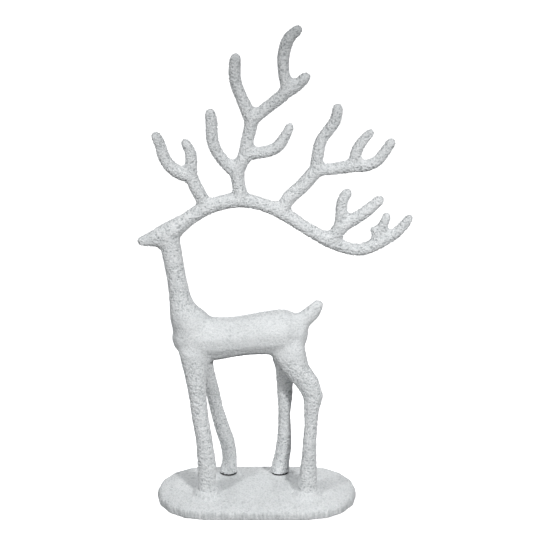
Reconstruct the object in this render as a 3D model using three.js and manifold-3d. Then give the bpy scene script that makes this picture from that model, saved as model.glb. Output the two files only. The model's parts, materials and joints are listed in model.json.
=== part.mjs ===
// Light-up yard reindeer: a snow-coated deer with one wide fan antler, standing on a mounded base.
// Units are millimetres. +Z is up, the nose points to -X, and the deer's left side is -Y.
// The origin is on the ground, below the middle of the whole object.
// Opal shells hide a steel frame and two strands of LEDs; three cells and a driver sit in the base.

import * as THREE from 'three';
import { mergeVertices } from 'three/addons/utils/BufferGeometryUtils.js';
import Module from 'manifold-3d';

const wasm = await Module();
wasm.setup();

// ---------------------------------------------------------------- driving dimensions

const GAP = 0.3;                     // clearance between neighbouring pieces

const BASE_X = -47;                  // middle of the base
const BASE_HALF_LENGTH = 250;
const BASE_HALF_WIDTH = 120;
const SKIRT_BOTTOM_Z = 2;
const PLATE_BOTTOM_Z = 4;
const PLATE_TOP_Z = 7;
const PLATE_INSET = 3.9;             // from the base's outline to the plate's edge
const SEAT_Z = 45;                   // top of the four raised seats that the hooves stand on
const SEAT_UNDERSIDE_Z = 34;
const SEAT_RADIUS = 27;
const GASKET = { thickness: 4, radiusX: 21.5, radiusY: 18.8 };
const HOOF_Z = SEAT_Z + GASKET.thickness + 2 * GAP;
const COVER_OUTSIDE = [              // inset from the base's outline, height
  [1.5, SKIRT_BOTTOM_Z], [0, 5], [0, 18], [2, 24], [7, 29], [18, 33], [38, 37], [62, 40.5], [88, 42.5],
  [104, 43],
];
const COVER_INSIDE = [
  [3.6, SKIRT_BOTTOM_Z - 4], [3.6, 17.5], [6, 22.5], [12, 27], [22, 30.2], [40, 33.8], [63, 37.2],
  [88, 39.2], [104, 39.6],
];

const FOOT_RADIUS = 12;
const FOOT_SPACING_X = 340;
const FOOT_SPACING_Y = 124;
const SCREW_SPACING_X = 390;
const SCREW_SPACING_Y = 80;
const SCREW = { headRadius: 3.6, headTop: 5.5, shankRadius: 1.4, top: 20, holeRadius: 1.8, postRadius: 5 };
const SCREW_SINK = { radius: 4, depth: 1.8 };

const KNEE_Z = 262;                  // seam between the body shells and the lower legs
const BODY_WALL = 3;
const LEG_WALL = 2.6;
const ANTLER_WALL = 2.5;
const SOLE_THICKNESS = 8;
const ROD_RADIUS = 4;
const ROD_BOTTOM_Z = 22;
const NUT = { radius: 8, height: 7 };
const LEAD_HOLE_RADIUS = 2.4;        // for the light cable, through seat, gasket and sole
const BALLAST = { thickness: 7, halfWidth: 62 };

const SEAM = { x: -208, z: 741 };    // middle of the seam between head and antler
const LIFT_ANGLE = 37 * Math.PI / 180;
const SOCKET_LENGTH = 50;
const SOCKET_RADIUS = 10;
const SPIGOT_RADIUS = 7.2;
const SPIGOT_DEPTH = 40;             // how far the spigot reaches into the socket
const ROOT_THICKNESS = 9;            // solid end of the antler that holds the spigot
const CABLE_HOLE_RADIUS = 5;         // hole in the beam under each branch
const CROWN_SEAM_Z = 964;            // ring seam between the tall branch and the crown

const CELL_RADIUS = 7.25;            // AA cell
const CELL_LENGTH = 50;
const CELL_PITCH = 15.6;
const CELL_Z = 15.4;
const CONTACT = { thickness: 0.6, halfWidth: 22, bottom: 9, top: 21 };
const BAY = { x0: -78.5, x1: -15.5, halfWidth: 27, top: 26, wall: 2 };
const HINGE = { x: -81, z: 5.5, halfWidth: 15, knuckleRadius: 1.9, boreRadius: 1.1, pinRadius: 0.8 };

const BUTTON_Z = 15.5;
const BUTTON_RADIUS = 6;
const BUTTON_PROUD = 2.5;
const BUTTON_FLANGE = { y0: 107, y1: 108.6, radius: 7.6 };
const DOOR = { z0: 4.3, z1: 6.7, halfWidth: 25 };
const BOARD = { y0: 64, y1: 102.6, z0: 9, z1: 10.6, halfLength: 24 };

// ---------------------------------------------------------------- centrelines
// Body limbs: x, y, z, half width along the object, half width across it.

const TORSO = [
  [-209, 0, 443, 48, 42], [-182, 0, 437, 56, 48], [-148, 0, 437, 54, 50], [-98, 0, 442, 49, 48],
  [-49, 0, 449, 51, 49], [-1, 0, 453, 56, 51], [22, 0, 453, 57, 49], [39, 0, 451, 51, 41],
];
const NECK = [
  [-179, 0, 424, 50, 42], [-201, 0, 468, 51, 40], [-219, 0, 502, 38, 35], [-227, 0, 530, 28.5, 28],
  [-231, 0, 556, 25, 24.5], [-237, 0, 597, 23, 22.5], [-242, 0, 630, 23, 22.5], [-247, 0, 662, 24, 22.5],
  [-252, 0, 702, 24, 22],
];
const HEAD = [
  [-318, 0, 687, 11, 9.5], [-304, 0, 689.5, 15, 13], [-288, 0, 693, 20, 17], [-270, 0, 699, 25, 21],
  [-252, 0, 708, 26, 23], [-234, 0, 722, 22, 21], [SEAM.x, 0, SEAM.z, 17.5, 17.5],
];
const TAIL = [
  [48, 0, 470, 24, 22], [70, 0, 488, 21.5, 18], [90, 0, 506, 18.5, 16], [102, 0, 523, 14, 13],
];
const LEGS = {
  front_left: [
    [-184, -14, 445, 30, 24], [-197, -23, 405, 38, 27], [-194, -30, 362, 28.5, 22.5],
    [-192, -33, 326, 23.2, 20], [-189, -35, 290, 21, 18.5], [-184, -38, 240, 20.5, 18],
    [-176, -41, 190, 20, 18], [-171, -45, 135, 22.5, 19], [-169, -47, 105, 24, 20],
    [-170, -50, 70, 21.5, 19.5], [-171, -51, HOOF_Z, 22, 20],
  ],
  front_right: [
    [-180, 14, 440, 28, 24], [-180, 23, 395, 26, 24], [-170, 30, 340, 18.5, 18.5],
    [-157, 35, 285, 16.5, 16.5], [-147, 39, 230, 17, 16.5], [-134, 42, 178, 18.5, 17],
    [-122, 45, 136, 19, 17.5], [-117, 47, 105, 18.5, 17.5], [-116, 49, 80, 18.5, 18],
    [-118.5, 50, 62, 21, 19], [-119.5, 50, HOOF_Z, 22.5, 19.5],
  ],
  rear_left: [
    [22, -14, 445, 42, 26], [35, -24, 405, 40.5, 27.5], [55, -30, 364, 29.5, 24.5], [80, -33, 331, 27, 21],
    [92, -35, 298, 24.5, 19], [88, -37, 262, 18.4, 17], [87, -40, 222, 16, 16], [84, -43, 182, 16.7, 16.5],
    [83, -46, 140, 18, 17.5], [81, -49, 100, 21.5, 19], [79, -52, HOOF_Z, 25, 22],
  ],
  rear_right: [
    [16, 14, 445, 38, 26], [18, 24, 395, 30, 25.5], [21.5, 31, 345, 21.5, 20], [23, 35, 300, 20, 18.5],
    [23.5, 37, 262, 18.5, 17], [22, 40, 222, 15, 15.5], [22, 43, 184, 16, 16], [22.5, 45, 149, 17.7, 17],
    [20, 47, 115, 19.5, 18], [14.5, 50, 80, 21, 19], [11, 51, HOOF_Z, 23.5, 20],
  ],
};

// Antler limbs lie in the plane y = 0: x, z, radius. Each one after the first starts inside its parent.

const ANTLER = {
  beam: [
    [SEAM.x, SEAM.z, 17.5], [-187, 756, 18], [-161, 771, 18], [-133, 781, 17.5], [-85, 790, 18],
    [-32, 779, 15.5], [14, 760, 17.5], [60, 728, 15], [124, 690, 17], [176, 668, 14.5],
    [208, 667, 15], [243, 683, 16], [283, 706, 13], [303, 727, 12], [314, 743, 10.5],
  ],
  brow: [
    [-163, 772, 15], [-176, 800, 16], [-196, 845, 15.5], [-197, 870, 15], [-196, 901, 13.5], [-208, 927, 11],
  ],
  brow_front: [
    [-197, 846, 15], [-216, 852, 16], [-246, 872, 15], [-261, 898, 14], [-267, 924, 13], [-276, 943, 12],
  ],
  trunk: [
    [-80, 792, 18], [-86, 826, 16], [-88, 862, 17], [-72, 895, 16.5], [-64, 940, 15],
    [-56, 975, 16], [-62, 998, 16], [-82, 1045, 14], [-92, 1076, 14], [-93, 1105, 14], [-91, 1125, 13],
  ],
  trunk_front: [
    [-86, 850, 14], [-106, 869, 14.5], [-135, 904, 13.5], [-147, 940, 14.5], [-147, 974, 14], [-150, 996, 13],
  ],
  trunk_rear: [[-68, 898, 13], [-46, 903, 14], [-8, 911, 14], [9, 923, 14], [24, 947, 12], [33, 966, 10]],
  crown: [
    [-57, 978, 14], [-34, 1000, 14.5], [2, 1029, 15], [26, 1052, 16], [20, 1086, 13.5], [17, 1122, 14],
    [23, 1156, 14.5], [33, 1176, 13.5], [49, 1191, 12],
  ],
  crown_rear: [[22, 1046, 14], [42, 1059, 14.5], [62, 1076, 13], [68, 1083, 12]],
  palm: [[14, 764, 16], [32, 795, 17], [58, 819, 17], [80, 844, 17], [97, 866, 17]],
  palm_front: [
    [93, 862, 14], [98, 900, 14.5], [104, 930, 14], [121, 957, 13.5], [138, 981, 13.5], [143, 1009, 12.5],
  ],
  palm_rear: [
    [95, 862, 14], [138, 866, 14], [182, 873, 15.5], [212, 873, 14], [238, 886, 13], [256, 910, 12.5],
    [267, 928, 11.5],
  ],
  palm_spur: [[182, 872, 13], [187, 903, 14], [198, 928, 12.5], [218, 951, 10]],
  fork: [[132, 690, 17], [146, 710, 18], [160, 730, 18]],
  fork_front: [[154, 722, 15], [155, 755, 14.5], [157, 786, 13.5], [167, 805, 12.5]],
  fork_rear: [[156, 724, 15], [189, 744, 15], [220, 767, 14], [243, 788, 12]],
  tip_spur: [[240, 682, 13], [245, 710, 12.5], [258, 736, 11], [262, 749, 10]],
  tip_bud: [[240, 696, 11], [232, 716, 8.5]],
};

// ---------------------------------------------------------------- helpers

function solid(geometry) {
  const bare = geometry.clone();
  bare.deleteAttribute('normal');
  bare.deleteAttribute('uv');
  const merged = mergeVertices(bare, 1e-4);
  return new wasm.Manifold(new wasm.Mesh({
    numProp: 3,
    vertProperties: new Float32Array(merged.attributes.position.array),
    triVerts: new Uint32Array(merged.index.array),
  }));
}

function geometryOf(body) {
  const mesh = body.getMesh();
  const geometry = new THREE.BufferGeometry();
  geometry.setAttribute('position', new THREE.BufferAttribute(new Float32Array(mesh.vertProperties), 3));
  geometry.setIndex(new THREE.BufferAttribute(new Uint32Array(mesh.triVerts), 1));
  geometry.computeVertexNormals();
  return geometry;
}

const unite = (bodies) => bodies.reduce((whole, body) => whole.add(body));

function box(x0, x1, y0, y1, z0, z1) {
  return solid(new THREE.BoxGeometry(x1 - x0, y1 - y0, z1 - z0)
    .translate((x0 + x1) / 2, (y0 + y1) / 2, (z0 + z1) / 2));
}

// An upright round bar between two heights.
function post(x, y, z0, z1, radius, sides = 20) {
  return solid(new THREE.CylinderGeometry(radius, radius, z1 - z0, sides)
    .rotateX(Math.PI / 2).translate(x, y, (z0 + z1) / 2));
}

// A round bar along Y.
function crossBar(x, z, y0, y1, radius, sides = 16) {
  return solid(new THREE.CylinderGeometry(radius, radius, y1 - y0, sides).translate(x, (y0 + y1) / 2, z));
}

// A round bar along the antler's lift direction; distances are measured from the seam.
function seamBar(from, to, radius, sides = 16) {
  const bar = new THREE.CylinderGeometry(radius, radius, to - from, sides);
  bar.translate(0, (from + to) / 2, 0).rotateZ(-Math.PI / 2).rotateY(-LIFT_ANGLE);
  return solid(bar.translate(SEAM.x, 0, SEAM.z));
}

// A skin over rings of equal length, closed by a fan at each end.
function skin(rings) {
  const sides = rings[0].length;
  const positions = rings.flat().flatMap((p) => [p.x, p.y, p.z]);
  const index = [];
  for (let i = 0; i + 1 < rings.length; i += 1) {
    for (let j = 0; j < sides; j += 1) {
      const a = i * sides + j;
      const b = i * sides + (j + 1) % sides;
      index.push(a, b, a + sides, b, b + sides, a + sides);
    }
  }
  const last = (rings.length - 1) * sides;
  for (let j = 1; j + 1 < sides; j += 1) {
    index.push(0, j + 1, j, last, last + j, last + j + 1);
  }
  const geometry = new THREE.BufferGeometry();
  geometry.setAttribute('position', new THREE.Float32BufferAttribute(positions, 3));
  geometry.setIndex(index);
  return solid(geometry);
}

// A tapered limb through stations [x, y, z, in-plane radius, cross radius], smoothed between them.
function limb(stations, { sides = 12, steps = 1, shrink = 0, domeStart = false, domeEnd = false } = {}) {
  const path = new THREE.CatmullRomCurve3(stations.map((s) => new THREE.Vector3(s[0], s[1], s[2])));
  const girth = new THREE.CatmullRomCurve3(
    stations.map((s) => new THREE.Vector3(s[3] - shrink, s[4] - shrink, 0)), false, 'catmullrom', 0.5);
  const acrossAxis = new THREE.Vector3(0, 1, 0);
  const rings = [];
  const ring = (t, along, scale) => {
    const tangent = path.getTangent(t);
    const across = acrossAxis.clone().addScaledVector(tangent, -tangent.y).normalize();
    const inPlane = new THREE.Vector3().crossVectors(across, tangent);
    const centre = path.getPoint(t).addScaledVector(tangent, along);
    const radius = girth.getPoint(t);
    const points = [];
    for (let j = 0; j < sides; j += 1) {
      const angle = (j + 0.5) * 2 * Math.PI / sides;
      points.push(centre.clone()
        .addScaledVector(inPlane, scale * radius.x * Math.cos(angle))
        .addScaledVector(across, scale * radius.y * Math.sin(angle)));
    }
    rings.push(points);
  };
  const domeAngles = [72, 40].map((degrees) => degrees * Math.PI / 180);
  if (domeStart) {
    domeAngles.forEach((a) => ring(0, -girth.getPoint(0).y * Math.sin(a), Math.cos(a)));
  }
  const count = (stations.length - 1) * steps;
  for (let i = 0; i <= count; i += 1) ring(i / count, 0, 1);
  if (domeEnd) {
    domeAngles.reverse().forEach((a) => ring(1, girth.getPoint(1).y * Math.sin(a), Math.cos(a)));
  }
  return skin(rings);
}

const flatStations = (list) => list.map(([x, z, r]) => [x, 0, z, r, r]);

// The base's outline, drawn in by an inset, as a ring of points at one height.
function baseRing(inset, z, arcSteps = 8) {
  const radius = BASE_HALF_WIDTH - inset;
  const reach = BASE_HALF_LENGTH - BASE_HALF_WIDTH;
  const points = [];
  for (const end of [0, 1]) {
    for (let i = 0; i <= arcSteps; i += 1) {
      const angle = -Math.PI / 2 + (end + i / arcSteps) * Math.PI;
      points.push(new THREE.Vector3(
        BASE_X + (end ? -reach : reach) + radius * Math.cos(angle), radius * Math.sin(angle), z));
    }
  }
  return points;
}

function baseMound(profile) {
  return skin(profile.map(([inset, z]) => baseRing(inset, z)));
}

const corners = (spacingX, spacingY) => [[-1, -1], [1, -1], [-1, 1], [1, 1]]
  .map(([sx, sy]) => [BASE_X + sx * spacingX / 2, sy * spacingY / 2]);

const FINISH = {
  snow: { color: 0xe4e9ee, roughness: 0.95, metalness: 0 },
  rubber: { color: 0x1c1c1e, roughness: 0.9, metalness: 0 },
  steel: { color: 0x8d9196, roughness: 0.45, metalness: 0.9 },
  grey_plastic: { color: 0xb9bdc1, roughness: 0.6, metalness: 0 },
  black_plastic: { color: 0x26282b, roughness: 0.55, metalness: 0 },
  board: { color: 0x1f5a37, roughness: 0.5, metalness: 0 },
  cell: { color: 0x3b6ea5, roughness: 0.35, metalness: 0.3 },
  nickel: { color: 0xc9c6bd, roughness: 0.3, metalness: 1 },
  strand: { color: 0xf0efe6, roughness: 0.5, metalness: 0 },
};

function piece(group, name, body, finish) {
  const mesh = new THREE.Mesh(geometryOf(body), new THREE.MeshStandardMaterial(FINISH[finish]));
  mesh.name = name;
  group.add(mesh);
}

function section(parent) {
  const group = new THREE.Group();
  parent.add(group);
  return group;
}

// ---------------------------------------------------------------- shared solids

const hooves = Object.entries(LEGS).map(([name, stations]) => {
  const [x, y] = stations[stations.length - 1];
  return { name, x, y };
});
const CABLE_HOOF = hooves[0];                       // the light cable climbs the front left leg
const cableX = CABLE_HOOF.x + 10.5;

const leftSide = () => box(-400, 200, -200, -GAP / 2, 200, 800);
const rightSide = () => box(-400, 200, GAP / 2, 200, 200, 800);

// ---------------------------------------------------------------- base

function baseCover() {
  let cover = baseMound(COVER_OUTSIDE).subtract(baseMound(COVER_INSIDE));
  for (const [x, y] of corners(SCREW_SPACING_X, SCREW_SPACING_Y)) {
    cover = cover.add(post(x, y, PLATE_TOP_Z + GAP, 36, SCREW.postRadius, 12))
      .subtract(post(x, y, 0, SCREW.top + 4, SCREW.holeRadius, 10));
  }
  for (const { x, y } of hooves) {
    cover = cover.add(post(x, y, SEAT_UNDERSIDE_Z, SEAT_Z, SEAT_RADIUS, 16))
      .subtract(post(x, y, 0, 60, ROD_RADIUS + GAP, 12));
  }
  return cover.subtract(post(cableX, CABLE_HOOF.y, 0, 60, LEAD_HOLE_RADIUS, 10))
    .subtract(crossBar(BASE_X, BUTTON_Z, 100, 140, BUTTON_RADIUS + GAP));
}

function basePlate() {
  let plate = skin([baseRing(PLATE_INSET, PLATE_BOTTOM_Z), baseRing(PLATE_INSET, PLATE_TOP_Z)]);
  plate = plate.subtract(box(BAY.x0 + 0.1, BAY.x1 - 0.1, -25.4, 25.4, 0, 10));
  const slotHalfWidth = HINGE.halfWidth + GAP;
  plate = plate.subtract(box(HINGE.x - 2.3, BAY.x0 + 1, -slotHalfWidth, slotHalfWidth, 0, 10));
  plate = plate.subtract(crossBar(HINGE.x, HINGE.z, -21, 21, HINGE.boreRadius, 12));
  for (const [x, y] of corners(SCREW_SPACING_X, SCREW_SPACING_Y)) {
    plate = plate.subtract(post(x, y, 0, 10, SCREW.holeRadius, 10))
      .subtract(post(x, y, 0, PLATE_BOTTOM_Z + SCREW_SINK.depth, SCREW_SINK.radius, 12));
  }
  return plate;
}

function baseScrew(x, y) {
  return post(x, y, PLATE_BOTTOM_Z + 0.1, SCREW.headTop, SCREW.headRadius, 12)
    .add(post(x, y, SCREW.headTop - 0.1, SCREW.top, SCREW.shankRadius, 8));
}

function batteryBox() {
  const { x0, x1, halfWidth, top, wall } = BAY;
  const bottom = PLATE_TOP_Z + GAP;
  return box(x0, x1, -halfWidth, halfWidth, bottom, top)
    .subtract(box(x0 + wall, x1 - wall, -halfWidth + wall, halfWidth - wall, 0, top - wall))
    .subtract(crossBar(BAY.x0 + 6, top - 6, halfWidth - 4, halfWidth + 4, 1.6, 8));
}

function batteryDoor() {
  const plate = box(BAY.x0 + 1.1, BAY.x1 - 0.5, -DOOR.halfWidth, DOOR.halfWidth, DOOR.z0, DOOR.z1);
  const arm = box(HINGE.x, BAY.x0 + 1.5, -HINGE.halfWidth, HINGE.halfWidth, DOOR.z0, DOOR.z1);
  const knuckle = crossBar(HINGE.x, HINGE.z, -HINGE.halfWidth, HINGE.halfWidth, HINGE.knuckleRadius, 14);
  const grip = box(BAY.x1 - 8.5, BAY.x1 - 5.5, -10, 10, DOOR.z0 - 1, DOOR.z0 + 0.1);
  return unite([plate, arm, knuckle, grip])
    .subtract(crossBar(HINGE.x, HINGE.z, -20, 20, HINGE.boreRadius, 12));
}

function cell(y) {
  const middle = (BAY.x0 + BAY.x1) / 2;
  const half = CELL_LENGTH / 2;
  const bar = (x0, x1, r) => solid(new THREE.CylinderGeometry(r, r, x1 - x0, 16)
    .rotateZ(Math.PI / 2).translate((x0 + x1) / 2, y, CELL_Z));
  return bar(middle - half, middle + half - 1.4, CELL_RADIUS).add(bar(middle + half - 2, middle + half, 2.7));
}

function contactStrip(x0) {
  return box(x0, x0 + CONTACT.thickness, -CONTACT.halfWidth, CONTACT.halfWidth, CONTACT.bottom, CONTACT.top);
}

function controlBoard() {
  const { y0, y1, z0, z1, halfLength } = BOARD;
  const board = box(BASE_X - halfLength, BASE_X + halfLength, y0, y1, z0, z1);
  const standoffs = [-19, 19].map((dx) => post(BASE_X + dx, y0 + 8, PLATE_TOP_Z + GAP, z0 + 0.4, 2.5, 10));
  const tactSwitch = box(BASE_X - 6, BASE_X + 6, y1 - 7.6, y1, z1 - 0.2, BUTTON_Z + 3);
  const chip = box(BASE_X - 5, BASE_X + 5, y0 + 14, y0 + 22, z1 - 0.2, z1 + 1.6);
  const driver = post(BASE_X + 15, y0 + 20, z1 - 0.2, z1 + 6.4, 3.5, 12);
  return unite([board, ...standoffs, tactSwitch, chip, driver]);
}

function powerButton() {
  const { y0, y1, radius } = BUTTON_FLANGE;
  const cap = crossBar(BASE_X, BUTTON_Z, y0 - 2, BASE_HALF_WIDTH + BUTTON_PROUD, BUTTON_RADIUS, 20);
  const flange = crossBar(BASE_X, BUTTON_Z, y0, y1, radius, 20);
  return cap.add(flange);
}

function hoofGasket(x, y) {
  const disc = new THREE.CylinderGeometry(1, 1, GASKET.thickness, 20)
    .rotateX(Math.PI / 2).scale(GASKET.radiusX, GASKET.radiusY, 1)
    .translate(x, y, SEAT_Z + GAP + GASKET.thickness / 2);
  return solid(disc).subtract(post(x, y, 0, 60, ROD_RADIUS + GAP, 12));
}

function rodNut(x, y) {
  const top = SEAT_UNDERSIDE_Z - GAP;
  return post(x, y, top - NUT.height, top, NUT.radius, 6).subtract(post(x, y, 0, 60, ROD_RADIUS + GAP, 12));
}

function ballastPlate(x0, x1) {
  const bottom = PLATE_TOP_Z + GAP;
  return box(x0, x1, -BALLAST.halfWidth, BALLAST.halfWidth, bottom, bottom + BALLAST.thickness);
}

// ---------------------------------------------------------------- deer

const bodyLimbs = (options) => [
  limb(TORSO, { steps: 2, ...options, domeStart: true, domeEnd: true }),
  limb(NECK, { steps: 2, ...options }),
  limb(HEAD, { ...options, domeStart: true }),
  limb(TAIL, { ...options, domeEnd: true }),
  ...Object.values(LEGS).map((stations) => limb(stations, options)),
];

function bodyShells() {
  const aboveKnee = box(-400, 200, -200, 200, KNEE_Z, 900);
  const outer = unite(bodyLimbs({ sides: 12 })).intersect(aboveKnee);
  const inner = unite(bodyLimbs({ sides: 8, shrink: BODY_WALL }))
    .subtract(seamBar(-BODY_WALL, 30, 30));
  const shell = outer.subtract(inner).subtract(seamBar(-20, 10, SOCKET_RADIUS + GAP));
  return { left: shell.intersect(leftSide()), right: shell.intersect(rightSide()) };
}

function lowerLeg(name, stations) {
  const { x, y } = hooves.find((hoof) => hoof.name === name);
  const [, , , rx, ry] = stations[stations.length - 1];
  const whole = [...stations, [x, y, HOOF_Z - 8, rx, ry]];
  const outer = limb(whole, { sides: 10 }).intersect(box(-400, 200, -200, 200, HOOF_Z, KNEE_Z - GAP));
  const soleTop = HOOF_Z + SOLE_THICKNESS;
  const inner = limb(whole, { sides: 8, shrink: LEG_WALL })
    .intersect(box(-400, 200, -200, 200, soleTop, 900));
  const leg = outer.subtract(inner).subtract(post(x, y, 0, soleTop + 4, ROD_RADIUS + GAP, 12));
  return name === CABLE_HOOF.name ? leg.subtract(post(cableX, y, 0, soleTop + 4, LEAD_HOLE_RADIUS, 10)) : leg;
}

const rodStations = (points, radius = ROD_RADIUS) => points.map(([x, y, z]) => [x, y, z, radius, radius]);

function steelFrame() {
  const spine = rodStations([[-176, 0, 438], [-120, 0, 442], [-60, 0, 446], [20, 0, 448]], 6);
  const neck = rodStations([[-172, 0, 440], [-204, 0, 478], [-226, 0, 530], [-237, 0, 597], [-246, 0, 666]]);
  const legs = Object.entries(LEGS).map(([name, stations]) => {
    const { x, y } = hooves.find((hoof) => hoof.name === name);
    const top = name.startsWith('front') ? [-172, 0, 438] : [14, 0, 448];
    const climb = stations.filter((s) => s[2] > 100 && s[2] < 400).reverse();
    return rodStations([[x, y, ROD_BOTTOM_Z], [x, y, 60], ...climb, top]);
  });
  return unite([spine, neck, ...legs].map((stations) => limb(stations, { sides: 6 })));
}

function antlerSocket() {
  const sleeve = seamBar(-SOCKET_LENGTH, -0.5, SOCKET_RADIUS);
  const stem = limb(rodStations([[-242.6, 0, 640], [-246.5, 0, 668], [-250, 0, 706]], 7.5), { sides: 12 });
  const rodHole = limb(rodStations([[-237, 0, 597], [-246.5, 0, 669]], ROD_RADIUS + 0.8), { sides: 12 });
  return sleeve.add(stem).subtract(rodHole)
    .subtract(seamBar(-SOCKET_LENGTH + 3, 10, SPIGOT_RADIUS + GAP));
}

// ---------------------------------------------------------------- antler

const antlerTree = (names, options) => unite(names.map((name) => (
  limb(flatStations(ANTLER[name]), { steps: 2, domeEnd: true, ...options }))));

const OUTSIDE = { sides: 8 };
const INSIDE = { sides: 6, shrink: ANTLER_WALL };
const MAIN_NAMES = ['beam', 'fork', 'fork_front', 'fork_rear', 'tip_spur', 'tip_bud'];

function mainAntler() {
  const root = seamBar(GAP, ROOT_THICKNESS, 17.3, 12);
  const outer = antlerTree(MAIN_NAMES, OUTSIDE).add(root).subtract(seamBar(-60, GAP, 60, 12));
  const inner = antlerTree(MAIN_NAMES, INSIDE).subtract(seamBar(-60, ROOT_THICKNESS, 60, 12));
  let shell = outer.subtract(inner).subtract(seamBar(-10, ROOT_THICKNESS + 20, SPIGOT_RADIUS + GAP));
  for (const name of ['brow', 'trunk', 'palm']) {
    const [start, next] = ANTLER[name];
    const hole = [start, next].map(([x, z]) => [x, 0, z]);
    shell = shell.subtract(limb(rodStations(hole, CABLE_HOLE_RADIUS), { sides: 8 }));
  }
  return shell;
}

const hollowTree = (names) => antlerTree(names, OUTSIDE).subtract(antlerTree(names, INSIDE));

const beamRoom = () => limb(flatStations(ANTLER.beam), { sides: 8, steps: 2, shrink: -GAP });

// A branch that plugs onto the beam: hollow, and open where it meets the beam.
const branch = (names) => hollowTree(names).subtract(beamRoom());

// The tall branch carries the crown on a ring seam just below its top fork.
function tallBranch() {
  const belowSeam = box(-400, 400, -99, 99, 700, CROWN_SEAM_Z);
  const tree = (options) => antlerTree(['trunk'], options).intersect(belowSeam)
    .add(antlerTree(['trunk_front', 'trunk_rear'], options));
  return tree(OUTSIDE).subtract(tree(INSIDE)).subtract(beamRoom());
}

const crownBranch = () => hollowTree(['trunk', 'crown', 'crown_rear'])
  .intersect(box(-400, 400, -99, 99, CROWN_SEAM_Z + GAP, 1300));

function antlerSpigot() {
  return seamBar(-SPIGOT_DEPTH, ROOT_THICKNESS + 14, SPIGOT_RADIUS).subtract(seamBar(-60, 60, 5));
}

// A light strand: a plain lead, then a thin cable along each lit route with a bead-shaped LED
// every few centimetres.
function strand(lead, routes, cableRadius, beadRadius, pitch) {
  const parts = [limb(rodStations(lead, cableRadius), { sides: 4 })];
  for (const route of routes) {
    const curve = new THREE.CatmullRomCurve3(route.map(([x, y, z]) => new THREE.Vector3(x, y, z)));
    parts.push(limb(rodStations(route, cableRadius), { sides: 4 }));
    const count = Math.floor(curve.getLength() / pitch);
    for (let i = 1; i <= count; i += 1) {
      const p = curve.getPointAt((i - 0.5) / count);
      parts.push(solid(new THREE.OctahedronGeometry(beadRadius).translate(p.x, p.y, p.z)));
    }
  }
  return unite(parts);
}

// ---------------------------------------------------------------- assembly

const group = new THREE.Group();

const base = section(group);
piece(base, 'base_cover', baseCover(), 'snow');
piece(base, 'base_plate', basePlate(), 'grey_plastic');
corners(FOOT_SPACING_X, FOOT_SPACING_Y).forEach(([x, y], i) => {
  piece(base, `foot_pad_${i + 1}`, post(x, y, 0, PLATE_BOTTOM_Z - GAP, FOOT_RADIUS, 24), 'rubber');
});
corners(SCREW_SPACING_X, SCREW_SPACING_Y).forEach(([x, y], i) => {
  piece(base, `base_screw_${i + 1}`, baseScrew(x, y), 'steel');
});
piece(base, 'ballast_plate_front', ballastPlate(-225, -105), 'steel');
piece(base, 'ballast_plate_rear', ballastPlate(10, 130), 'steel');
for (const { name, x, y } of hooves) {
  piece(base, `${name}_gasket`, name === CABLE_HOOF.name
    ? hoofGasket(x, y).subtract(post(cableX, y, 0, 60, LEAD_HOLE_RADIUS, 10)) : hoofGasket(x, y), 'rubber');
  piece(base, `${name}_rod_nut`, rodNut(x, y), 'steel');
}

const power = section(base);
piece(power, 'battery_box', batteryBox(), 'black_plastic');
piece(power, 'battery_door', batteryDoor(), 'grey_plastic');
piece(power, 'door_hinge_pin', crossBar(HINGE.x, HINGE.z, -20, 20, HINGE.pinRadius, 10), 'steel');
[-1, 0, 1].forEach((row, i) => piece(power, `battery_${i + 1}`, cell(row * CELL_PITCH), 'cell'));
piece(power, 'contact_strip_front', contactStrip(BAY.x0 + 2.4), 'nickel');
piece(power, 'contact_strip_rear', contactStrip(BAY.x1 - 3), 'nickel');
piece(power, 'control_board', controlBoard(), 'board');
piece(power, 'power_button', powerButton(), 'grey_plastic');

const deer = section(group);
const shells = bodyShells();
piece(deer, 'body_left_shell', shells.left, 'snow');
piece(deer, 'body_right_shell', shells.right, 'snow');
for (const [name, stations] of Object.entries(LEGS)) {
  piece(deer, `${name}_leg`, lowerLeg(name, stations), 'snow');
}
piece(deer, 'steel_frame', steelFrame(), 'steel');
piece(deer, 'antler_socket', antlerSocket(), 'grey_plastic');
piece(deer, 'light_jack', seamBar(-46.7, -42, 6.8, 14), 'black_plastic');

const cableY = CABLE_HOOF.y;
const leadRoute = [
  [BASE_X - 20, 60, 16], [-90, 34, 29], [-130, -20, 29.5], [cableX, cableY, 30], [cableX, cableY, 62],
  [-160, -46, 110], [-166, -41, 190], [-177, -36, 260], [-181, -31, 330], [-180, -20, 400], [-150, -14, 452],
];
const backRoute = [[-152, -14, 452], [-100, -14, 458], [-40, -14, 462], [20, -14, 466], [52, -8, 470]];
const neckRoute = [
  [-152, -14, 452], [-194, -16, 500], [-217, -12, 545], [-227.5, -9.5, 597], [-234.5, -9.5, 645],
];
piece(deer, 'body_light_strand', strand(leadRoute, [backRoute, neckRoute], 1.3, 3.2, 50), 'strand');

const antler = section(group);
piece(antler, 'antler_beam', mainAntler(), 'snow');
piece(antler, 'brow_branch', branch(['brow', 'brow_front']), 'snow');
piece(antler, 'tall_branch', tallBranch(), 'snow');
piece(antler, 'crown_branch', crownBranch(), 'snow');
piece(antler, 'palm_branch', branch(['palm', 'palm_front', 'palm_rear', 'palm_spur']), 'snow');
piece(antler, 'antler_spigot', antlerSpigot(), 'steel');
piece(antler, 'antler_plug', seamBar(-SPIGOT_DEPTH + 1, -SPIGOT_DEPTH + 10, 4.6, 14), 'black_plastic');

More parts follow.
